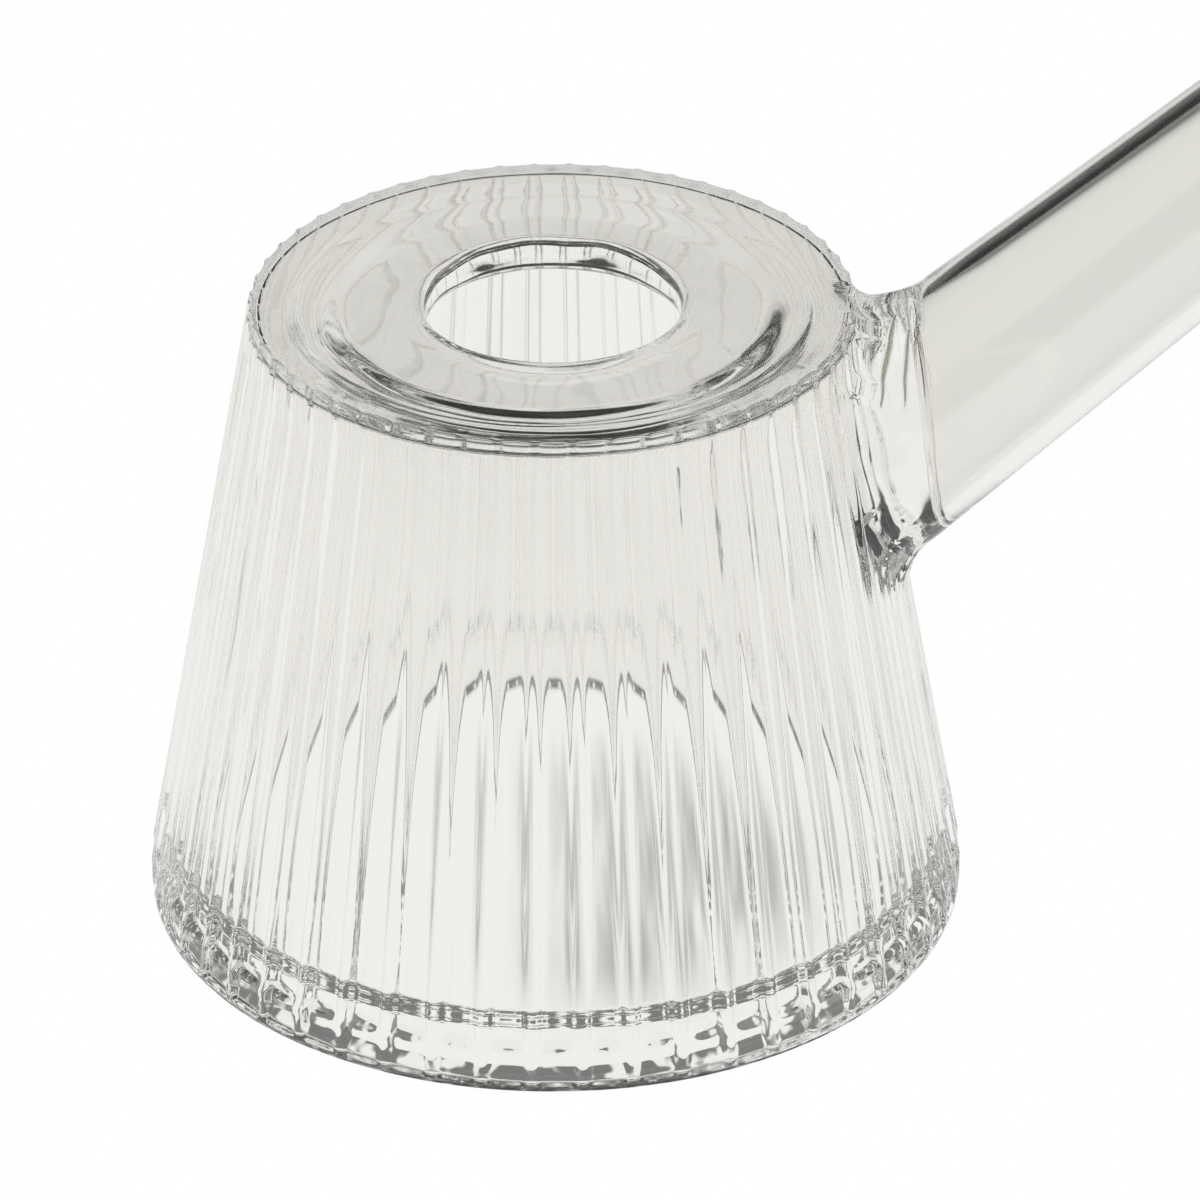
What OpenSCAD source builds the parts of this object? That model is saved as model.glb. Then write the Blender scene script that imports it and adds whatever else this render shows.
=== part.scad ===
// Fluted glass pour over dripper with a hollow glass handle, standing on its open mouth.
// Units are millimetres. +Z is up, the mouth plane is Z = 0 and the handle leaves towards +X.

/* [Cup] */
// Outside diameter over the ridges at the open mouth
mouth_diameter = 102; // [80:0.5:130]
// Outside diameter over the ridges at the narrow outlet end
outlet_end_diameter = 74; // [55:0.5:100]
// Height of the cup from its mouth to the outlet face
cup_height = 82.7; // [60:0.1:110]
// Thickness of the glass wall, measured level, over the ridges
wall_thickness = 2.1; // [2:0.1:5]
// Height of the plain band at the mouth, below the flutes
lip_band_height = 5.5; // [4:0.1:10]
// Thickness of the heavy lip inside the mouth
lip_thickness = 5.6; // [4:0.1:8]
// Height at which the heavy lip starts to thin towards the wall
lip_swell_start = 6.4; // [6:0.1:9]
// Height at which the heavy lip has run out into the wall
lip_swell_end = 11.2; // [10:0.1:16]
// Rounding of the mouth's outer edge
mouth_edge_round = 2.2; // [1:0.1:3]
// Rounding of the corner between the wall and the outlet face
outlet_end_round = 0.5; // [0.3:0.1:1.5]

/* [Flutes] */
// Number of flutes round the cup
flute_count = 52; // [36:1:64]
// Width of one flute at the mouth end
flute_width = 4.6; // [3.5:0.1:6]
// Depth of one flute at the mouth end
flute_depth = 1; // [0.6:0.1:1.5]
// Gap from the lip band up to the rounded lower tips of the flutes
flute_tip_gap = 0.4; // [0.2:0.1:3]
// Distance from the outlet face down to the centre of each flute's upper tip
flute_top_drop = 3.4; // [3.2:0.1:6]

/* [Outlet] */
// Diameter of the outlet hole
outlet_diameter = 31; // [20:0.5:45]
// Thickness of the glass floor at the outlet
outlet_thickness = 4.7; // [4:0.1:7]
// Thickness of the floor between the two easy steps in its underside
middle_thickness = 3.2; // [2.5:0.1:5]
// Thickness of the floor near the wall
floor_thickness = 2.4; // [1.5:0.1:4]
// Radius at which the inner step starts
inner_step_start = 24.6; // [19:0.1:26]
// Radius at which the inner step ends
inner_step_end = 30.2; // [27:0.1:30.4]
// Radius at which the outer step starts
outer_step_start = 30.6; // [30.5:0.1:31.2]
// Radius at which the outer step ends
outer_step_end = 32.4; // [31.5:0.1:33]
// Width of the fire-polished lip round the outlet
outlet_lip_width = 2.2; // [1.5:0.1:4]
// Rounding of the lip's upper and lower edges
outlet_lip_round = 1.6; // [0.6:0.1:2]
// Radius of the inside corner between floor and wall
inside_corner_radius = 1; // [0.5:0.1:2.5]
// Height of the shoulder ring, from the outlet face down the wall
shoulder_height = 9; // [7:0.5:14]

/* [Handle] */
// Outside diameter of the handle tube where it meets the cup
handle_root_diameter = 26.6; // [20:0.1:32]
// Outside diameter of the handle tube at its far end
handle_end_diameter = 20.6; // [16:0.1:30]
// Thickness of the handle's glass
handle_wall = 2.2; // [1.5:0.1:3.5]
// Length of the handle tube from the cup's wall to the start of its closed end
handle_length = 96; // [70:1:140]
// Angle of the handle above level, with the mouth down
handle_rise = 41.1; // [25:0.1:60]
// Height above the mouth where the handle's axis meets the cup
handle_root_height = 62.8; // [45:0.1:70]

/* [Handle weld] */
// Diameter of the weld glass round the handle's root
weld_diameter = 35.6; // [30:0.1:40]
// Angle of the weld's own axis above level
weld_rise = 29.3; // [15:0.1:45]
// Taper of the weld, its side against its axis, in degrees
weld_taper = 23; // [10:0.5:35]
// How far the weld reaches out along its axis
weld_reach = 9; // [5:0.1:11]
// Distance from the cup's axis to the end of the weld's solid pad, at the height below
pad_end_x = 45.1; // [40:0.1:52]
// Height above the mouth at which that distance is measured
pad_end_height = 67; // [55:0.1:75]
// Angle by which the end of the pad faces up
pad_end_rise = 5.3; // [0:0.1:20]

/* [Hidden] */
$fn = 96;
glass = [0.86, 0.88, 0.87];
mouth_radius = mouth_diameter / 2;
outlet_end_radius = outlet_end_diameter / 2;
mouth_bore_radius = mouth_radius - lip_thickness;
wall_foot_radius = mouth_radius - wall_thickness;
wall_slope = (mouth_radius - outlet_end_radius) / (cup_height - lip_band_height);
wall_lean = atan(wall_slope);
floor_bottom = cup_height - floor_thickness;
corner_start = floor_bottom - inside_corner_radius;
corner_inner_radius = wall_foot_radius - wall_slope * (corner_start - lip_band_height);
corner_centre_radius = corner_inner_radius - inside_corner_radius;
shoulder_start = cup_height - shoulder_height;
outlet_bottom = cup_height - outlet_thickness;
middle_bottom = cup_height - middle_thickness;
outlet_radius = outlet_diameter / 2;
outlet_lip_radius = outlet_radius + outlet_lip_width;
// A flute is cut by a ball-nosed, slightly tapered cutter. Its radius follows from width and depth.
flute_cut_radius = (flute_width * flute_width / 4 + flute_depth * flute_depth) / (2 * flute_depth);
flute_shrink = outlet_end_radius / mouth_radius;
flute_start = lip_band_height + flute_tip_gap + flute_width / 2;
flute_end = cup_height - flute_top_drop;
flute_run = (flute_end - flute_start) / cos(wall_lean);
flute_axis_offset = flute_cut_radius - flute_depth;
flute_axis_lean = atan((wall_slope * (flute_end - flute_start)
                        + flute_axis_offset * (1 - flute_shrink)) / (flute_end - flute_start));
weld_flutes = 6;
handle_root_x = mouth_radius - wall_slope * (handle_root_height - lip_band_height);
handle_bury = 16;
handle_taper = (handle_root_diameter - handle_end_diameter) / 2 / handle_length;
handle_root_radius = handle_root_diameter / 2;
handle_end_radius = handle_end_diameter / 2;
handle_buried_radius = handle_root_radius + handle_taper * handle_bury;
weld_radius = weld_diameter / 2;
weld_bury = 8;
weld_centre = [39.3, 0, 65.4];
block_size = 160;
arc_steps = 4;
ease_steps = 4;

// Points of a quarter arc. It starts at from_angle and turns through sweep degrees.
function arc_points(centre, radius, from_angle, sweep) =
  [for (i = [0:arc_steps])
    centre + radius * [cos(from_angle + sweep * i / arc_steps), sin(from_angle + sweep * i / arc_steps)]];

// Outside radius over the ridges at height z.
function ridge_radius(z) = mouth_radius - wall_slope * (z - lip_band_height);

// Inside radius of the tapered wall at height z.
function inner_radius(z) = wall_foot_radius - wall_slope * (z - lip_band_height);

// Share of an S-shaped run that is done at share t of its length.
function ease(t) = t * t * (3 - 2 * t);

// Points of an S-shaped step between two heights, level at both ends.
function step_points(from, to) =
  [for (i = [0:ease_steps]) [from.x + (to.x - from.x) * i / ease_steps,
                             from.y + (to.y - from.y) * ease(i / ease_steps)]];

// Points of an S-shaped swell between two radii, upright at both ends.
function swell_points(from, to) =
  [for (i = [0:ease_steps]) [from.x + (to.x - from.x) * ease(i / ease_steps),
                             from.y + (to.y - from.y) * i / ease_steps]];

// Outline of the solid cup above the lip band, with the rounded corner at the outlet end.
module cup_envelope_outline() {
  polygon(concat(
    [[0, 0], [mouth_radius, 0], [mouth_radius, lip_band_height]],
    arc_points([outlet_end_radius - outlet_end_round, cup_height - outlet_end_round],
               outlet_end_round, 0, 90),
    [[0, cup_height]]));
}

// One flute cutter, standing on its round nose, its axis along +Z.
module flute_cutter() {
  rotate_extrude($fn = 24)
    polygon(concat(
      arc_points([0, 0], flute_cut_radius, -90, 90),
      arc_points([0, flute_run], flute_cut_radius * flute_shrink, 0, 90)));
}

// The flute cutters from number first to number last. Number 0 is in line with the handle.
module flute_cutters(first, last) {
  for (i = [first:last])
    rotate([0, 0, i * 360 / flute_count])
      translate([ridge_radius(flute_start) + flute_axis_offset, 0, flute_start])
        rotate([0, -flute_axis_lean, 0])
          flute_cutter();
}

// Puts its children on the handle's axis, starting where that axis meets the cup's wall.
module on_handle_axis() {
  translate([handle_root_x, 0, handle_root_height])
    rotate([0, 90 - handle_rise, 0])
      children();
}

// The outside of the handle tube as a solid, reaching back into the cup.
module handle_outside() {
  on_handle_axis()
    translate([0, 0, -handle_bury])
      cylinder(h = handle_length + handle_bury, r1 = handle_buried_radius, r2 = handle_end_radius);
}

// The cup as a solid near the handle, with the flutes that the handle's root covers.
module cup_near_handle() {
  difference() {
    rotate_extrude()
      cup_envelope_outline();
    flute_cutters(-weld_flutes, weld_flutes);
  }
}

// Plain band at the open mouth, with a straight inside wall and a rounded outer edge.
module mouth_rim() {
  color(glass)
    rotate_extrude()
      polygon(concat(
        [[mouth_bore_radius, 0]],
        arc_points([mouth_radius - mouth_edge_round, mouth_edge_round], mouth_edge_round, -90, 90),
        [[mouth_radius, lip_band_height], [mouth_bore_radius, lip_band_height]]));
}

// Tapered wall with the flutes cut in its outside, swelling inward to the heavy lip at its foot.
module fluted_wall() {
  color(glass)
    difference() {
      rotate_extrude()
        polygon(concat(
          [[mouth_bore_radius, lip_band_height],
           [mouth_radius, lip_band_height],
           [ridge_radius(shoulder_start), shoulder_start],
           [inner_radius(shoulder_start), shoulder_start]],
          swell_points([inner_radius(lip_swell_end), lip_swell_end],
                       [mouth_bore_radius, lip_swell_start])));
      flute_cutters(0, flute_count - 1);
    }
}

// Thick ring where the wall turns into the floor, with the flutes' upper tips.
module outlet_shoulder() {
  color(glass)
    difference() {
      rotate_extrude()
        polygon(concat(
          [[inner_radius(shoulder_start), shoulder_start], [ridge_radius(shoulder_start), shoulder_start]],
          arc_points([outlet_end_radius - outlet_end_round, cup_height - outlet_end_round],
                     outlet_end_round, 0, 90),
          [[outer_step_end, cup_height], [outer_step_end, floor_bottom]],
          arc_points([corner_centre_radius, corner_start], inside_corner_radius, 90, -90)));
      flute_cutters(0, flute_count - 1);
    }
}

// Glass floor between the shoulder and the outlet's lip, flat on top and thicker towards the outlet.
module outlet_floor() {
  color(glass)
    rotate_extrude()
      polygon(concat(
        [[outlet_lip_radius, cup_height], [outlet_lip_radius, outlet_bottom]],
        step_points([inner_step_start, outlet_bottom], [inner_step_end, middle_bottom]),
        step_points([outer_step_start, middle_bottom], [outer_step_end, floor_bottom]),
        [[outer_step_end, cup_height]]));
}

// Fire-polished lip round the outlet, with a short straight bore.
module outlet_lip() {
  lip_round_radius = outlet_radius + outlet_lip_round;
  color(glass)
    rotate_extrude()
      polygon(concat(
        arc_points([lip_round_radius, cup_height - outlet_lip_round], outlet_lip_round, 90, 90),
        arc_points([lip_round_radius, outlet_bottom + outlet_lip_round], outlet_lip_round, 180, 90),
        [[outlet_lip_radius, outlet_bottom], [outlet_lip_radius, cup_height]]));
}

// The weld glass as a plain cone round the handle's root.
module weld_cone() {
  translate(weld_centre)
    rotate([0, 90 - weld_rise, 0])
      translate([0, 0, -weld_bury])
        cylinder(h = weld_bury + weld_reach,
                 r1 = weld_radius + weld_bury * tan(weld_taper),
                 r2 = weld_radius - weld_reach * tan(weld_taper));
}

// A block on the handle's side of the plane where the weld's solid pad ends, or on the cup's side.
module block_at_pad_end(handle_side) {
  translate([pad_end_x, 0, pad_end_height])
    rotate([0, 90 - pad_end_rise, 0])
      translate([-block_size / 2, -block_size / 2, handle_side ? 0 : -block_size])
        cube(block_size);
}

// Weld glass round the root of the handle: a solid pad on the cup that fills the flutes behind it.
module handle_weld() {
  color(glass)
    difference() {
      union() {
        weld_cone();
        intersection() {
          handle_outside();
          block_at_pad_end(false);
        }
      }
      intersection() {
        handle_outside();
        block_at_pad_end(true);
      }
      cup_near_handle();
    }
}

// Hollow tapered handle tube, standing on the weld's pad.
module handle_tube() {
  color(glass)
    intersection() {
      difference() {
        handle_outside();
        on_handle_axis()
          translate([0, 0, -handle_bury - 1])
            cylinder(h = handle_length + handle_bury + 2,
                     r1 = handle_buried_radius - handle_wall, r2 = handle_end_radius - handle_wall);
      }
      block_at_pad_end(true);
    }
}

// Closed round end of the handle.
module handle_end() {
  color(glass)
    on_handle_axis()
      translate([0, 0, handle_length])
        rotate_extrude()
          difference() {
            circle(r = handle_end_radius);
            circle(r = handle_end_radius - handle_wall);
            translate([-2 * handle_end_radius, -2 * handle_end_radius])
              square([4 * handle_end_radius, 2 * handle_end_radius]);
            translate([-2 * handle_end_radius, -1])
              square([2 * handle_end_radius, 2 * handle_end_radius]);
          }
}

mouth_rim();
fluted_wall();
outlet_shoulder();
outlet_floor();
outlet_lip();
handle_weld();
handle_tube();
handle_end();
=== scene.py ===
# A clear glass pour over dripper with a fluted wall and a hollow glass handle, standing on its mouth.
# The whole thing is one fused piece of borosilicate glass. Lengths are in metres.
import bmesh
import bpy
import math
from mathutils import Matrix, Vector, noise
from mathutils.bvhtree import BVHTree


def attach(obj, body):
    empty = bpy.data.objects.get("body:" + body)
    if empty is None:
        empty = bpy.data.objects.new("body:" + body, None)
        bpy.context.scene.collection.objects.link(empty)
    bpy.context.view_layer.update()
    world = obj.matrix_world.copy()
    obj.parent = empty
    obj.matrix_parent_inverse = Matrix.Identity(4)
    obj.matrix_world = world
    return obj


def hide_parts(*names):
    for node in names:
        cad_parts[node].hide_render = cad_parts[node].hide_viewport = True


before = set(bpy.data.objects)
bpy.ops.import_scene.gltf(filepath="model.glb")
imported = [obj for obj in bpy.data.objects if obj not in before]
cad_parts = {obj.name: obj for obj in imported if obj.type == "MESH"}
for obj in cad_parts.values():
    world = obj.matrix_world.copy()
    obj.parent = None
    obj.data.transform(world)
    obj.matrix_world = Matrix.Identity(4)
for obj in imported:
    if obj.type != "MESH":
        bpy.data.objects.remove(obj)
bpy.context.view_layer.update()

# ---------------------------------------------------------------------------------------------------
# Cup. Real piece: a thick glass cone, pressed in a mould and then fire-polished, open at its wide end
# and with one hole in the glass floor at its narrow end. This is its outline, which goes round once:
# up the outside, over the floor, through the hole, and down the inside.
MM = 0.001
mouth_radius = 51.0 * MM
outlet_end_radius = 37.0 * MM
cup_height = 82.7 * MM
lip_band = 5.5 * MM
wall_slope = (mouth_radius - outlet_end_radius) / (cup_height - lip_band)


def even_steps(first, last, steps):
    # Evenly spaced values from first to last, with both ends.
    return [first + (last - first) * i / steps for i in range(steps + 1)]


def arc(centre_r, centre_z, radius, first, last, steps):
    # Points on a quarter round of the outline, angles in degrees from level outward.
    turns = [math.radians(angle) for angle in even_steps(first, last, steps)]
    return [(centre_r + radius * math.cos(a), centre_z + radius * math.sin(a)) for a in turns]


def between(a, b, steps):
    # Points from a to b without both ends.
    return list(zip(even_steps(a[0], b[0], steps), even_steps(a[1], b[1], steps)))[1:-1]


def ease(value, start, stop):
    # 0 up to start, 1 from stop on, smooth between.
    share = min(max((value - start) / (stop - start), 0.0), 1.0)
    return share * share * (3 - 2 * share)


def ridge_radius(z):
    return mouth_radius - wall_slope * max(z - lip_band, 0.0)


# The outside, with more points at both tips of the flutes and behind the weld.
mouth_round = 2.2 * MM
shoulder_round = 0.35 * MM
band_heights = [3.0, 4.0, 4.8]
lower_tip_heights = [5.5 + 0.4 * i for i in range(10)]
wall_heights = [10.4, 18.0, 28.0, 37.0]
weld_heights = [40.0 + 1.15 * i for i in range(30)]
upper_tip_heights = [75.0 + 0.75 * i for i in range(9)]
outside = arc(mouth_radius - mouth_round, mouth_round, mouth_round, -90, 0, 6)
for ring_height in band_heights + lower_tip_heights + wall_heights + weld_heights + upper_tip_heights:
    outside.append((ridge_radius(ring_height * MM), ring_height * MM))
shoulder = arc(outlet_end_radius - shoulder_round, cup_height - shoulder_round, shoulder_round, 0, 90, 4)

# The flat top of the floor, and the fire-polished lip of the outlet.
outlet_radius = 15.5 * MM
outlet_thickness = 4.7 * MM
lip_round = 1.6 * MM
collar_bottom = cup_height - outlet_thickness
floor_top = between(shoulder[-1], (outlet_radius + lip_round, cup_height), 6)
outlet_edge = arc(outlet_radius + lip_round, cup_height - lip_round, lip_round, 90, 180, 6)
outlet_edge += arc(outlet_radius + lip_round, collar_bottom + lip_round, lip_round, 180, 270, 6)

# The underside of the floor, thick round the outlet and thinner in two steps towards the wall.
floor_thickness = 2.2 * MM
floor_bottom = cup_height - floor_thickness
collar_from, collar_to, collar_drop = 24.6 * MM, 30.2 * MM, 1.5 * MM
slope_from, slope_to, slope_drop = 30.6 * MM, 32.4 * MM, 0.75 * MM
wall_at_top = 1.5 * MM
corner = 0.8 * MM
corner_radius = mouth_radius - wall_at_top - wall_slope * (floor_bottom - corner - lip_band) - corner
inside_corner = arc(corner_radius, floor_bottom - corner, corner, 90, 0, 6)
under_radii = [18.4 * MM, 20.0 * MM, 21.6 * MM] + even_steps(collar_from, collar_to, 8)
under_radii += even_steps(slope_from, slope_to, 2)
floor_under = []
for r in under_radii:
    ramp = min(max((r - slope_from) / (slope_to - slope_from), 0.0), 1.0)
    floor_under.append((r, collar_bottom + collar_drop * ease(r, collar_from, collar_to) + slope_drop * ramp))
floor_under += between(floor_under[-1], inside_corner[0], 3)

# The inside of the wall, which thins towards the floor and swells inward to a heavy lip at the mouth.
wall = 2.1 * MM
thinning_from, thinning_to = 45 * MM, 76 * MM
lip_wall = 5.6 * MM
bead_low, bead_high = 6.4 * MM, 11.2 * MM
inner_lip_round = 1.6 * MM
mouth_bore = mouth_radius - lip_wall
wall_top = inside_corner[-1][1]
wall_inside = []
for z in even_steps(wall_top, bead_high, 6)[1:] + even_steps(bead_high, bead_low, 10)[1:]:
    thinning = (wall - wall_at_top) * ease(z, thinning_from, thinning_to)
    swell = (lip_wall - wall) * (1 - ease(z, bead_low, bead_high))
    wall_inside.append((ridge_radius(z) - wall + thinning - swell, z))
mouth_inside = [(mouth_bore, lip_band), (mouth_bore, band_heights[0] * MM)]
mouth_inside += arc(mouth_bore + inner_lip_round, inner_lip_round, inner_lip_round, 180, 270, 5)

outline = outside + shoulder + floor_top + outlet_edge + floor_under
outline += inside_corner + wall_inside + mouth_inside
outline_mesh = bpy.data.meshes.new("cup_outline")
outline_mesh.from_pydata([(r, 0, z) for r, z in outline], [(i, i + 1) for i in range(len(outline) - 1)], [])
cup = bpy.data.objects.new("dripper_glass", outline_mesh)
bpy.context.scene.collection.objects.link(cup)

# How far each ring takes the flutes, and how wavy it is: the plunger's side is less even than the mould's.
floor_waves, wall_waves = 3.0, 1.5
waves_from, waves_full = 1.6 * MM, 4.0 * MM
flutes_from, flutes_full = 1.6 * MM, 4.6 * MM
floor_start = len(outside) + len(shoulder)
outlet_start = floor_start + len(floor_top)
wall_start = outlet_start + len(outlet_edge) + len(floor_under)
flute_share = outline_mesh.attributes.new("flute_share", "FLOAT", "POINT")
wave_share = outline_mesh.attributes.new("wave_share", "FLOAT", "POINT")
for i, (r, z) in enumerate(outline):
    flute_share.data[i].value = ease(z, flutes_from, flutes_full) if i < floor_start + 2 else 0.0
    if i < outlet_start:
        waves = 0.0
    elif i < wall_start:
        waves = floor_waves
    else:
        waves = wall_waves
    wave_share.data[i].value = waves * ease(z, waves_from, waves_full)

# ---------------------------------------------------------------------------------------------------
# Flutes. Real piece: 52 flutes that the mould's ribs press into the cup's outside, with half-round
# ridges of glass left between them. The node tree turns the outline into the whole cup, presses the
# flutes in by rule, and adds the low, slow waves of glass that has been fire-polished.
flutes = 52
points_per_flute = 12
cup_tree = bpy.data.node_groups.new("Pressed Cup", "GeometryNodeTree")
cup_tree.interface.new_socket("Outline", in_out="INPUT", socket_type="NodeSocketGeometry")
cup_sizes = (
    ("Flutes", "NodeSocketInt", flutes),
    ("Points per Flute", "NodeSocketInt", points_per_flute),
    ("Mouth Radius", "NodeSocketFloat", mouth_radius),
    ("Ridge Radius", "NodeSocketFloat", 1.2 * MM),
    ("Ridge Height", "NodeSocketFloat", 1.1 * MM),
    ("Foot Softness", "NodeSocketFloat", 0.18 * MM),
    ("Channel Hollow", "NodeSocketFloat", 0.12 * MM),
    ("Tip Round", "NodeSocketFloat", 2.6 * MM),
    ("Lower Tip Height", "NodeSocketFloat", 8.2 * MM),
    ("Lip Band Share", "NodeSocketFloat", 0.5),
    ("Fade Start", "NodeSocketFloat", 76.0 * MM),
    ("Fade End", "NodeSocketFloat", cup_height),
    ("Share at Top", "NodeSocketFloat", 0.4),
    ("Waviness", "NodeSocketFloat", 0.28 * MM),
    ("Wave Size", "NodeSocketFloat", 70.0),
    ("Glass", "NodeSocketMaterial", None),
)
sockets = {}
for name, kind, value in cup_sizes:
    sockets[name] = cup_tree.interface.new_socket(name, in_out="INPUT", socket_type=kind)
    if value is not None:
        sockets[name].default_value = value
cup_tree.interface.new_socket("Cup", in_out="OUTPUT", socket_type="NodeSocketGeometry")
given = cup_tree.nodes.new("NodeGroupInput").outputs


def feed(tree, socket, value):
    # Sets a socket to a number, or links another node's output to it.
    if isinstance(value, (int, float)):
        socket.default_value = value
    else:
        tree.links.new(value, socket)


def maths(tree, operation, *values):
    node = tree.nodes.new("ShaderNodeMath")
    node.operation = operation
    for socket, value in zip(node.inputs, values):
        feed(tree, socket, value)
    return node.outputs[0]


def smooth_step(tree, value, start, stop, low=0.0, high=1.0):
    # low up to start, high from stop on, smooth between.
    node = tree.nodes.new("ShaderNodeMapRange")
    node.interpolation_type = "SMOOTHSTEP"
    for socket, given_value in zip(node.inputs, (value, start, stop, low, high)):
        feed(tree, socket, given_value)
    return node.outputs[0]


def put(kind, inputs, **settings):
    # A node of the cup's tree, with its inputs fed and its settings made.
    node = cup_tree.nodes.new(kind)
    for key, value in settings.items():
        setattr(node, key, value)
    for key, value in inputs.items():
        feed(cup_tree, node.inputs[key], value)
    return node


def outline_value(kind, field, row):
    # What the outline's point of this row holds.
    inputs = {"Geometry": given["Outline"], "Value": field, "Index": row}
    return put("GeometryNodeSampleIndex", inputs, data_type=kind, domain="POINT").outputs["Value"]


def named(name):
    node = put("GeometryNodeInputNamedAttribute", {}, data_type="FLOAT")
    node.inputs["Name"].default_value = name
    return node.outputs["Attribute"]


def cup_maths(operation, *values):
    return maths(cup_tree, operation, *values)


# A flat grid: one row of points per point of the outline, and one column per step round the cup.
outline_size = put("GeometryNodeAttributeDomainSize", {"Geometry": given["Outline"]}, component="MESH")
rows = outline_size.outputs["Point Count"]
columns = cup_maths("MULTIPLY", given["Flutes"], given["Points per Flute"])
grid = put("GeometryNodeMeshGrid", {"Size X": 1.0, "Size Y": 1.0, "Vertices X": cup_maths("ADD", rows, 1),
                                    "Vertices Y": cup_maths("ADD", columns, 1)})
position = put("GeometryNodeInputPosition", {}).outputs[0]
place = put("ShaderNodeSeparateXYZ", {0: position}).outputs
row = cup_maths("ROUND", cup_maths("MULTIPLY", cup_maths("ADD", place["X"], 0.5), rows))
row = cup_maths("MODULO", row, rows)
turn = cup_maths("ADD", place["Y"], 0.5)
phase = cup_maths("FRACT", cup_maths("ADD", cup_maths("MULTIPLY", turn, given["Flutes"]), 0.5))
phase = cup_maths("SUBTRACT", phase, 0.5)

# The columns crowd on to the sides of the ridges, where the surface turns most.
crowd_once, crowd_twice = 0.075, 0.03
once = cup_maths("SINE", cup_maths("MULTIPLY", phase, math.tau))
twice = cup_maths("SINE", cup_maths("MULTIPLY", phase, 2 * math.tau))
crowd = cup_maths("ADD", cup_maths("MULTIPLY", once, crowd_once), cup_maths("MULTIPLY", twice, crowd_twice))
phase = cup_maths("ADD", phase, crowd)
turn = cup_maths("ADD", turn, cup_maths("DIVIDE", crowd, given["Flutes"]))
angle = cup_maths("MULTIPLY", turn, math.tau)

# The radius and height of this row's point on the outline.
ring = put("ShaderNodeSeparateXYZ", {0: outline_value("FLOAT_VECTOR", position, row)}).outputs
radius, height = ring["X"], ring["Z"]

# The ridges are half round, smaller towards the narrow end, with a shallow hollow between them.
pitch = cup_maths("DIVIDE", cup_maths("MULTIPLY", radius, math.tau), given["Flutes"])
shrink = cup_maths("DIVIDE", radius, given["Mouth Radius"])
from_middle = cup_maths("ABSOLUTE", cup_maths("MULTIPLY", phase, pitch))
from_ridge = cup_maths("SUBTRACT", cup_maths("MULTIPLY", pitch, 0.5), from_middle)
round_ridge = cup_maths("MULTIPLY", given["Ridge Radius"], shrink)
under_root = cup_maths("SUBTRACT", cup_maths("MULTIPLY", round_ridge, round_ridge),
                       cup_maths("MULTIPLY", from_ridge, from_ridge))
ridge_drop = cup_maths("SUBTRACT", round_ridge, cup_maths("SQRT", cup_maths("MAXIMUM", under_root, 0.0)))
hollow = cup_maths("COSINE", cup_maths("MULTIPLY", phase, math.tau))
hollow = cup_maths("MULTIPLY", hollow, given["Channel Hollow"])
channel_drop = cup_maths("ADD", cup_maths("MULTIPLY", given["Ridge Height"], shrink),
                         cup_maths("MULTIPLY", hollow, shrink))

# At the mouth a flute ends in a round tip that rises to a shallower band, and it fades at the floor.
past_tip = cup_maths("MAXIMUM", cup_maths("SUBTRACT", given["Lower Tip Height"], height), 0.0)
tip_round = cup_maths("MULTIPLY", given["Tip Round"], shrink)
past_share = cup_maths("DIVIDE", past_tip, tip_round)
beside = cup_maths("DIVIDE", from_middle, tip_round)
beside = cup_maths("MULTIPLY", cup_maths("MULTIPLY", beside, beside), cup_maths("MINIMUM", past_share, 1.0))
finger = cup_maths("SUBTRACT", 1.0, cup_maths("ADD", cup_maths("MULTIPLY", past_share, past_share), beside))
finger = cup_maths("MAXIMUM", cup_maths("SQRT", cup_maths("MAXIMUM", finger, 0.0)), given["Lip Band Share"])
channel_drop = cup_maths("MULTIPLY", channel_drop, finger)
fading = smooth_step(cup_tree, height, given["Fade Start"], given["Fade End"], 1.0, given["Share at Top"])
channel_drop = cup_maths("MULTIPLY", channel_drop, fading)
cut = cup_maths("SMOOTH_MIN", ridge_drop, channel_drop, given["Foot Softness"])
cut = cup_maths("MULTIPLY", cup_maths("MAXIMUM", cut, 0.0), outline_value("FLOAT", named("flute_share"), row))
radius = cup_maths("SUBTRACT", radius, cut)


def round_the_cup(radius, height):
    return put("ShaderNodeCombineXYZ", {"X": cup_maths("MULTIPLY", radius, cup_maths("COSINE", angle)),
                                        "Y": cup_maths("MULTIPLY", radius, cup_maths("SINE", angle)),
                                        "Z": height}).outputs[0]


# Low, slow waves in the faces that the mould's plunger and the flame leave uneven.
ripple = put("ShaderNodeTexNoise", {"Vector": round_the_cup(radius, height), "Scale": given["Wave Size"],
                                    "Detail": 1.0}, noise_dimensions="3D").outputs[0]
wave = cup_maths("MULTIPLY", cup_maths("SUBTRACT", ripple, 0.5), given["Waviness"])
wave = cup_maths("MULTIPLY", wave, outline_value("FLOAT", named("wave_share"), row))
spot = round_the_cup(cup_maths("ADD", radius, wave), cup_maths("ADD", height, wave))

join_distance = 1e-6
bend = put("GeometryNodeSetPosition", {"Geometry": grid.outputs["Mesh"], "Position": spot})
join = put("GeometryNodeMergeByDistance", {"Geometry": bend.outputs[0], "Distance": join_distance})
smooth = put("GeometryNodeSetShadeSmooth", {"Geometry": join.outputs[0]})
solid = put("GeometryNodeRealizeInstances", {"Geometry": smooth.outputs[0]})
finish = put("GeometryNodeSetMaterial", {"Geometry": solid.outputs[0], "Material": given["Glass"]})
put("NodeGroupOutput", {"Cup": finish.outputs[0]})

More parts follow.
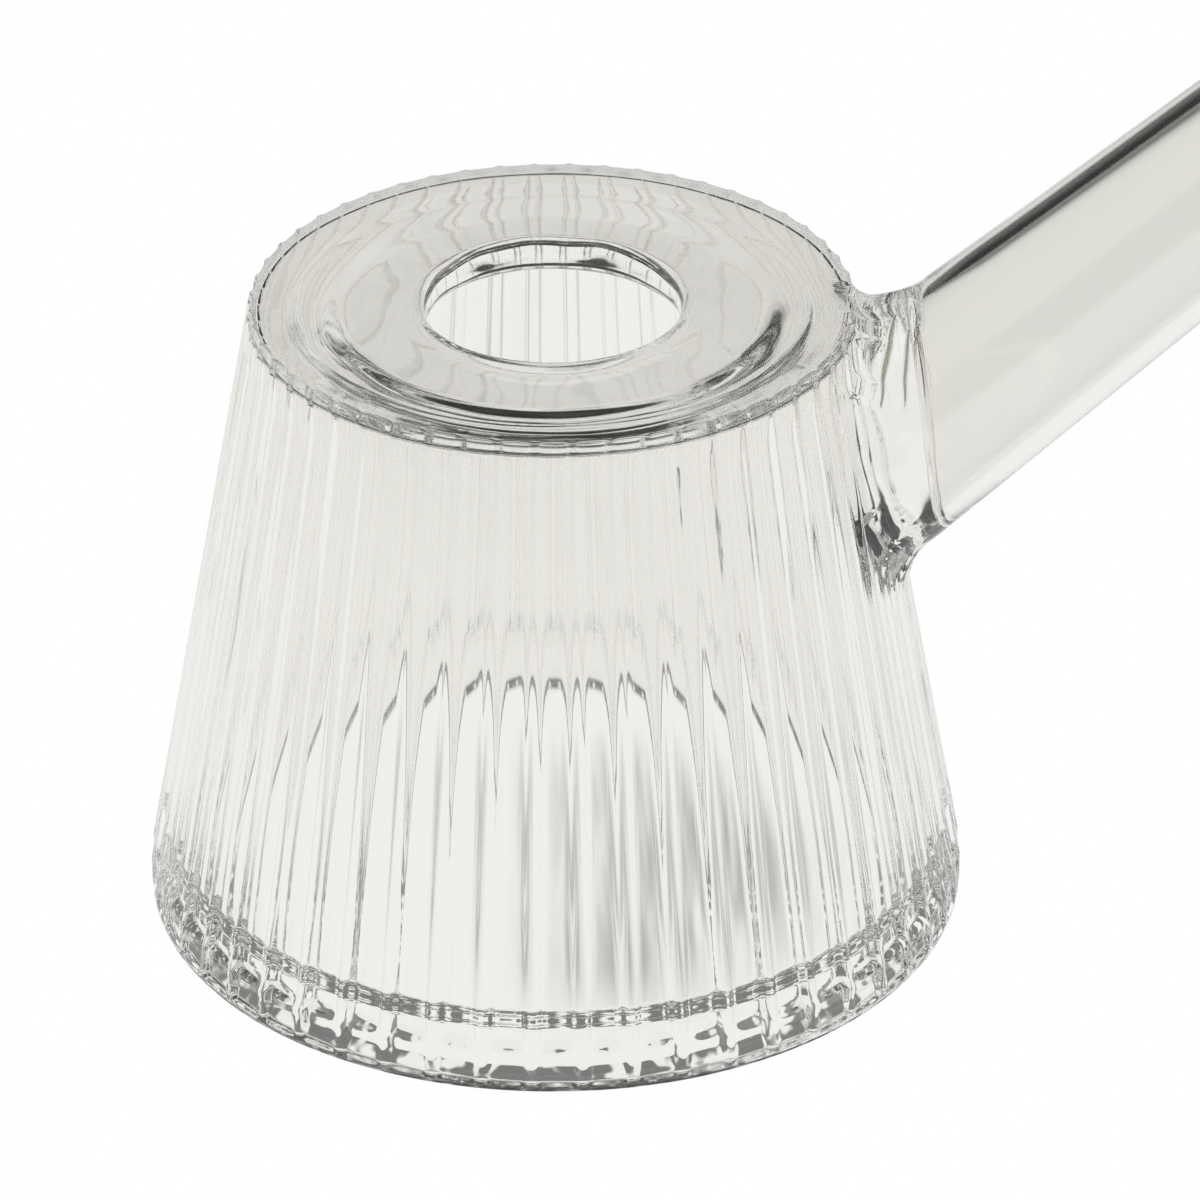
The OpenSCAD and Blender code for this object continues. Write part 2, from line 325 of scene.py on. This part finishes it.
# Clear borosilicate glass with a faint warm grey tint, and painted shade: darker on the walls of the air
# bubbles.
glass = bpy.data.materials.new("clear_borosilicate")
glass.use_nodes = True
shader = glass.node_tree.nodes["Principled BSDF"]
bubble_shade_share = glass.node_tree.nodes.new("ShaderNodeAttribute")
bubble_shade_share.attribute_name = "bubble_painted_shade"
tint = glass.node_tree.nodes.new("ShaderNodeMix")
tint.data_type = "RGBA"
tint.inputs["A"].default_value = (0.93, 0.922, 0.893, 1)
tint.inputs["B"].default_value = (0.42, 0.42, 0.35, 1)
glass.node_tree.links.new(bubble_shade_share.outputs["Fac"], tint.inputs["Factor"])
glass.node_tree.links.new(tint.outputs["Result"], shader.inputs["Base Color"])
shader.inputs["Transmission Weight"].default_value = 1.0
shader.inputs["IOR"].default_value = 1.474
shader.inputs["Roughness"].default_value = 0.05

pressed = cup.modifiers.new("pressed", "NODES")
pressed.node_group = cup_tree
pressed[sockets["Glass"].identifier] = glass
cup_mesh = bpy.data.meshes.new_from_object(cup.evaluated_get(bpy.context.evaluated_depsgraph_get()))
cup.modifiers.remove(pressed)
cup.data = cup_mesh
cup_mesh.name = "dripper_glass"

# ---------------------------------------------------------------------------------------------------
# Weld. Real piece: a thick pad of weld glass that holds the handle's tube on the cup's side. It fills
# the flutes behind it and flows into both pieces, so cup, pad and tube are one skin. An oval is cut
# out of the cup's skin, and the pad grows from its edge to a slanting line round the tube.
handle_root_height = 62.8 * MM
handle_rise = math.radians(41.1)
handle_length = 96 * MM
root_radius = 13.3 * MM
end_radius = 10.3 * MM
root = Vector((ridge_radius(handle_root_height), 0, handle_root_height))
along = Vector((math.cos(handle_rise), 0, math.sin(handle_rise)))
over = Vector((-math.sin(handle_rise), 0, math.cos(handle_rise)))
side = Vector((0, 1, 0))
weld_rise = math.radians(29.3)
weld_out = Vector((math.cos(weld_rise), 0, math.sin(weld_rise)))
weld_up = Vector((-math.sin(weld_rise), 0, math.cos(weld_rise)))
weld_middle = 35.7 * MM
weld_half_height = 19.2 * MM
weld_half_width = 15.8 * MM
clear_of_cup = 200 * MM
facing_weld = 0.1


def tube_radius(s):
    return root_radius + (end_radius - root_radius) * s / handle_length


def on_tube(s, turn, radius):
    return root + along * s + (over * math.cos(turn) + side * math.sin(turn)) * radius


def on_weld(point):
    # Where a point lies in the weld's oval: up and sideways, 1 at its edge.
    return (point.dot(weld_up) - weld_middle) / weld_half_height, point.y / weld_half_width


body = bmesh.new()
body.from_mesh(cup_mesh)
bmesh.ops.recalc_face_normals(body, faces=body.faces)
skin = BVHTree.FromBMesh(body)
covered = []
for face in body.faces:
    centre = face.calc_center_median()
    if centre.x > 0 and face.normal.dot(weld_out) > facing_weld and math.hypot(*on_weld(centre)) < 1:
        covered.append(face)
bmesh.ops.delete(body, geom=covered, context="FACES")

# The cut edge, walked round once and drawn on to the oval.
edge_links = {}
for edge in body.edges:
    if edge.is_boundary:
        for corner_point in edge.verts:
            edge_links.setdefault(corner_point, []).append(edge)
used = next(edge for edge in body.edges if edge.is_boundary)
loop = [used.verts[0]]
here = used.other_vert(loop[0])
while here is not loop[0]:
    loop.append(here)
    used = next(edge for edge in edge_links[here] if edge is not used)
    here = used.other_vert(here)
angles = []
for point in loop:
    up, across = on_weld(point.co)
    angles.append(math.atan2(across, up))
    on_oval = weld_up * (weld_middle + weld_half_height * math.cos(angles[-1])) \
        + side * weld_half_width * math.sin(angles[-1])
    point.co = skin.ray_cast(on_oval + weld_out * clear_of_cup, -weld_out)[0]
if sum(1 for a, b in zip(angles, angles[1:]) if b > a) < len(loop) / 2:
    loop.reverse()
    angles.reverse()


def skin_ring(points):
    return [body.verts.new(p) for p in points]


def skin_between(first, second):
    for i in range(len(first)):
        j = (i + 1) % len(first)
        body.faces.new((first[i], second[i], second[j], first[j])).smooth = True


# The pad's surface leaves the cup along its wall and arrives on the tube along its side.
weld_line_middle, weld_line_slant = 9.0 * MM, 8.0 * MM
weld_lump, weld_lump_size = 0.35 * MM, 230.0
leave_pull, arrive_pull = 0.9, 1.1
weld_steps = 16
tube_angles = [angles[0] + math.tau * i / len(loop) for i in range(len(loop))]
strands = []
for point, cup_turn, tube_turn in zip(loop, angles, tube_angles):
    s = weld_line_middle + weld_line_slant * math.cos(tube_turn)
    arrive = on_tube(s, tube_turn, tube_radius(s))
    wall_normal = Vector((point.co.x, point.co.y, 0)).normalized()
    wall_normal.z = wall_slope
    wall_normal.normalize()
    leave = -(weld_up * math.cos(cup_turn) + side * math.sin(cup_turn)).normalized()
    leave = (leave - wall_normal * leave.dot(wall_normal)).normalized()
    strands.append((point.co.copy(), leave, arrive, s))
last = loop
for step in range(1, weld_steps + 1):
    t = step / weld_steps
    points = []
    for depart, leave, arrive, s in strands:
        reach = (arrive - depart).length
        q = depart * (2 * t ** 3 - 3 * t ** 2 + 1) + leave * reach * leave_pull * (t ** 3 - 2 * t ** 2 + t) \
            + arrive * (-2 * t ** 3 + 3 * t ** 2) + along * reach * arrive_pull * (t ** 3 - t ** 2)
        lump = noise.noise(q * weld_lump_size) * weld_lump * math.sin(math.pi * t)
        from_axis = q - root - along * (q - root).dot(along)
        points.append(q + from_axis.normalized() * lump)
    next_ring = skin_ring(points)
    skin_between(last, next_ring)
    last = next_ring

# ---------------------------------------------------------------------------------------------------
# Handle. Real piece: a drawn glass tube that tapers a little, closed round at its far end in the
# flame and sealed by the weld's pad at its root, so the air in it is shut in.
tube_steps = 12
end_steps = 12
for step in range(1, tube_steps + 1):
    points = []
    for tube_turn, (depart, leave, arrive, s) in zip(tube_angles, strands):
        s_now = s + (handle_length - s) * (step / tube_steps)
        points.append(on_tube(s_now, tube_turn, tube_radius(s_now)))
    next_ring = skin_ring(points)
    skin_between(last, next_ring)
    last = next_ring
for step in range(1, end_steps):
    rise = math.pi / 2 * step / end_steps
    s_now = handle_length + end_radius * math.sin(rise)
    radius_now = end_radius * math.cos(rise)
    next_ring = skin_ring([on_tube(s_now, tube_turn, radius_now) for tube_turn in tube_angles])
    skin_between(last, next_ring)
    last = next_ring
tip = body.verts.new(on_tube(handle_length + end_radius, 0, 0))
for i in range(len(last)):
    body.faces.new((last[i], tip, last[(i + 1) % len(last)])).smooth = True
bmesh.ops.recalc_face_normals(body, faces=body.faces)

# The sealed hollow. It ends at the weld's pad in a nearly upright wall with round corners.
handle_wall = 2.2 * MM
pad_rise = math.radians(5.3)
pad_end = Vector((45.1 * MM, 0, 67 * MM))
pad_normal = Vector((math.cos(pad_rise), 0, math.sin(pad_rise)))
pad_corner = 1.8 * MM
pad_ring_shares = (0.2, 0.45, 0.65, 0.8)
pad_corner_steps = 6
bore_root = root_radius - handle_wall
bore_end = end_radius - handle_wall
bore_sides = 128
bore_steps = 9
bore_end_steps = 10


def pad_reach(turn, radius):
    # How far along the tube the pad's wall is, on the line at this turn and radius.
    return (pad_end - on_tube(0, turn, radius)).dot(pad_normal) / along.dot(pad_normal)


def hollow_ring(place_at):
    return [body.verts.new(place_at(math.tau * i / bore_sides)) for i in range(bore_sides)]


def on_pad(radius, lift):
    return hollow_ring(lambda turn: on_tube(pad_reach(turn, radius) + lift, turn, radius))


def on_bore(share):
    def place_at(turn):
        first = pad_reach(turn, bore_root) + pad_corner
        s_now = first + (handle_length - first) * share
        return on_tube(s_now, turn, tube_radius(s_now) - handle_wall)
    return hollow_ring(place_at)


def on_round_end(rise):
    s_now = handle_length + bore_end * math.sin(rise)
    return hollow_ring(lambda turn: on_tube(s_now, turn, bore_end * math.cos(rise)))


pad_middle = body.verts.new(on_tube(pad_reach(0, 0), 0, 0))
rings = [on_pad(bore_root * share, 0.0) for share in pad_ring_shares]
for lean in even_steps(0.0, math.pi / 2, pad_corner_steps)[1:]:
    out_now = bore_root - pad_corner + pad_corner * math.sin(lean)
    rings.append(on_pad(out_now, pad_corner * (1 - math.cos(lean))))
rings += [on_bore(step / bore_steps) for step in range(1, bore_steps + 1)]
rings += [on_round_end(math.pi / 2 * step / bore_end_steps) for step in range(1, bore_end_steps)]
bore_tip = body.verts.new(on_tube(handle_length + bore_end, 0, 0))
for i in range(bore_sides):
    j = (i + 1) % bore_sides
    body.faces.new((pad_middle, rings[0][j], rings[0][i])).smooth = True
    body.faces.new((bore_tip, rings[-1][i], rings[-1][j])).smooth = True
    for first, second in zip(rings, rings[1:]):
        body.faces.new((first[i], first[j], second[j], second[i])).smooth = True

# ---------------------------------------------------------------------------------------------------
# Air bubbles. Real piece: air caught in the weld while it was soft, in two long bubbles drawn upward
# in the pad and a few small round ones low down. Each is a closed hollow in the glass.
# Painted shade: a mark on each bubble's skin, where the glass is coloured darker.
bubble_shade_layer = body.verts.layers.float.new("bubble_painted_shade")


def bubble(middle, half_length, axis, thickness, ring_count, side_count):
    # Lengths here are in millimetres.
    middle, axis = Vector(middle), Vector(axis).normalized()
    first = axis.orthogonal().normalized()
    second = axis.cross(first)
    turns = [math.tau * j / side_count for j in range(side_count)]
    around = [first * math.cos(turn) + second * math.sin(turn) for turn in turns]
    rows = []
    for i in range(1, ring_count):
        lean = math.pi * i / ring_count
        ring_middle, ring_radius = middle + axis * half_length * math.cos(lean), thickness * math.sin(lean)
        rows.append([body.verts.new((ring_middle + outward * ring_radius) * MM) for outward in around])
    top = body.verts.new((middle + axis * half_length) * MM)
    bottom = body.verts.new((middle - axis * half_length) * MM)
    for point in [top, bottom] + [point for row_points in rows for point in row_points]:
        point[bubble_shade_layer] = 1.0
    for j in range(side_count):
        k = (j + 1) % side_count
        body.faces.new((top, rows[0][k], rows[0][j])).smooth = True
        body.faces.new((bottom, rows[-1][j], rows[-1][k])).smooth = True
        for upper, lower in zip(rows, rows[1:]):
            body.faces.new((upper[j], upper[k], lower[k], lower[j])).smooth = True


bubble((40.9, -2.6, 75.4), 6.0, (0.14, 0.05, 1), 0.62, 14, 14)
bubble((43.4, -3.6, 74.6), 5.2, (0.02, -0.06, 1), 0.5, 14, 14)
small_bubbles = (
    ((44.6, -3.5, 50.8), 0.5), ((43.9, -4.8, 48.2), 0.4), ((43.0, -6.0, 52.4), 0.35),
    ((45.2, -2.0, 49.6), 0.4), ((44.0, -2.4, 46.6), 0.3), ((41.9, -7.0, 57.0), 0.3),
)
for middle, size in small_bubbles:
    bubble(middle, size, (0, 0, 1), size, 8, 8)

# The finished glass: cup, weld, handle and bubbles in one mesh.
body.to_mesh(cup_mesh)
body.free()
cup_mesh.materials.clear()
cup_mesh.materials.append(glass)
for polygon in cup_mesh.polygons:
    polygon.material_index = 0
    polygon.use_smooth = True
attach(cup, "root")
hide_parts("mouth_rim", "fluted_wall", "outlet_shoulder", "outlet_floor", "outlet_lip",
            "handle_weld", "handle_tube", "handle_end")

# ---------------------------------------------------------------------------------------------------
# Table. A white top that glows evenly near the dripper and dims far out, with painted shade that the glass
# shows: a broken dark contact shadow where its lip stands on the near side, and a streaky grey shade inside
# the cup.
table_half = 6
table_level = 0.93
fade_from, fade_to, fade_level = 0.3, 0.7, 0.08
lip_shadow_radius, lip_shadow_half, lip_shadow_depth = 46.7 * MM, 4.1 * MM, 0.8
near_side_from, near_side_full = -18 * MM, 6 * MM
gaps_per_metre, gap_from, gap_full = 330.0, 0.38, 0.52
shade_radius, shade_fade_radius, shade_depth = 22 * MM, 41 * MM, 0.5
right_side_from, right_side_full = -10 * MM, 14 * MM
streaks_across, streaks_along, streak_from, streak_full = 130.0, 22.0, 0.2, 0.7
table_mesh = bpy.data.meshes.new("table")
table_mesh.from_pydata([(-table_half, -table_half, 0), (table_half, -table_half, 0),
                        (table_half, table_half, 0), (-table_half, table_half, 0)], [], [(0, 1, 2, 3)])
table = bpy.data.objects.new("table", table_mesh)
bpy.context.scene.collection.objects.link(table)
white_top = bpy.data.materials.new("white_table")
white_top.use_nodes = True
table_tree = white_top.node_tree
table_tree.nodes.remove(table_tree.nodes["Principled BSDF"])


def table_maths(operation, *values):
    return maths(table_tree, operation, *values)


def table_step(value, start, stop, low=0.0, high=1.0):
    return smooth_step(table_tree, value, start, stop, low, high)


def table_noise(place, scale, detail):
    node = table_tree.nodes.new("ShaderNodeTexNoise")
    node.noise_dimensions = "2D"
    for name, value in (("Vector", place), ("Scale", scale), ("Detail", detail)):
        feed(table_tree, node.inputs[name], value)
    return node.outputs[0]


table_place = table_tree.nodes.new("ShaderNodeTexCoord").outputs["Object"]
spread = table_tree.nodes.new("ShaderNodeVectorMath")
spread.operation = "LENGTH"
table_tree.links.new(table_place, spread.inputs[0])
from_centre = spread.outputs["Value"]
ground = table_tree.nodes.new("ShaderNodeSeparateXYZ")
table_tree.links.new(table_place, ground.inputs[0])

# Painted contact shadow: a broken dark ring under the lip on the near side that darkens the table's glow.
near_side = table_step(table_maths("MULTIPLY", ground.outputs["Y"], -1.0), near_side_from, near_side_full)
lip_shadow = table_maths("COMPARE", from_centre, lip_shadow_radius, lip_shadow_half)
lip_shadow = table_maths("MULTIPLY", table_maths("MULTIPLY", lip_shadow, near_side),
                       table_step(table_noise(table_place, gaps_per_metre, 1.0), gap_from, gap_full))

streak_place = table_tree.nodes.new("ShaderNodeCombineXYZ")
table_tree.links.new(table_maths("MULTIPLY", ground.outputs["X"], streaks_across), streak_place.inputs["X"])
table_tree.links.new(table_maths("MULTIPLY", ground.outputs["Y"], streaks_along), streak_place.inputs["Y"])
streaks = table_step(table_noise(streak_place.outputs[0], 1.0, 2.0), streak_from, streak_full)
inside_cup = table_maths("SUBTRACT", 1.0, table_step(from_centre, shade_radius, shade_fade_radius))
right_side = table_step(ground.outputs["X"], right_side_from, right_side_full)
shade = table_maths("MULTIPLY", table_maths("MULTIPLY", inside_cup, right_side), streaks)

level = table_maths("SUBTRACT", table_level, table_maths("MULTIPLY", shade, shade_depth))
level = table_maths("MULTIPLY", table_step(from_centre, fade_from, fade_to, 1.0, fade_level), level)
level = table_maths("MULTIPLY", level, table_maths("MULTIPLY_ADD", lip_shadow, -lip_shadow_depth, 1.0))
seen_directly = table_tree.nodes.new("ShaderNodeLightPath").outputs["Is Camera Ray"]
glow = table_tree.nodes.new("ShaderNodeEmission")
table_tree.links.new(table_maths("MAXIMUM", seen_directly, level), glow.inputs["Strength"])
table_tree.links.new(glow.outputs[0], table_tree.nodes["Material Output"].inputs["Surface"])
table_mesh.materials.append(white_top)

# ---------------------------------------------------------------------------------------------------
# Room. A large soft light overhead, a bright window on the right and dim walls. The camera itself
# sees plain white behind the dripper.
overhead_level, overhead_from, overhead_full = 1.1, 0.82, 0.9
window_level, window_from, window_full = 0.9, 0.5, 0.75
wall_level = 0.035
studio = bpy.data.worlds.new("studio")
bpy.context.scene.world = studio
studio.use_nodes = True
room = studio.node_tree


def room_maths(operation, *values):
    return maths(room, operation, *values)


aim = room.nodes.new("ShaderNodeSeparateXYZ")
room.links.new(room.nodes.new("ShaderNodeTexCoord").outputs["Generated"], aim.inputs[0])
overhead = smooth_step(room, aim.outputs["Z"], overhead_from, overhead_full)
overhead = room_maths("MULTIPLY", overhead, overhead_level)
window = smooth_step(room, aim.outputs["X"], window_from, window_full)
window = room_maths("MULTIPLY", window, window_level)
light = room_maths("ADD", room_maths("MAXIMUM", overhead, window), wall_level)
seen = room.nodes.new("ShaderNodeLightPath").outputs["Is Camera Ray"]
light = room_maths("ADD", room_maths("MULTIPLY", light, room_maths("SUBTRACT", 1.0, seen)), seen)
room.links.new(light, room.nodes["Background"].inputs["Strength"])
room.nodes["Background"].inputs["Color"].default_value = (1, 1, 1, 1)
bpy.context.scene.view_settings.view_transform = "Standard"
bpy.context.scene.cycles.max_bounces = 32
bpy.context.scene.cycles.transmission_bounces = 32
bpy.context.scene.cycles.glossy_bounces = 32

# Camera. A long lens from the front and above.
lens = bpy.data.cameras.new("camera")
lens.lens = 240
lens.sensor_width = 36
lens.clip_end = 50
camera = bpy.data.objects.new("camera", lens)
bpy.context.scene.collection.objects.link(camera)
camera_place = Vector((0, -0.86375, 0.53114))
turn_right, tilt_down, roll = 0.00657, math.radians(29.6), -0.003
look = Vector((math.sin(turn_right) * math.cos(tilt_down), math.cos(turn_right) * math.cos(tilt_down),
               -math.sin(tilt_down)))
level_right = Vector((math.cos(turn_right), -math.sin(turn_right), 0))
level_up = level_right.cross(look)
view_right = level_right * math.cos(roll) + level_up * math.sin(roll)
view_up = level_up * math.cos(roll) - level_right * math.sin(roll)
aimed = Matrix((view_right, view_up, -look)).transposed().to_4x4()
camera.matrix_world = Matrix.Translation(camera_place) @ aimed
bpy.context.scene.camera = camera
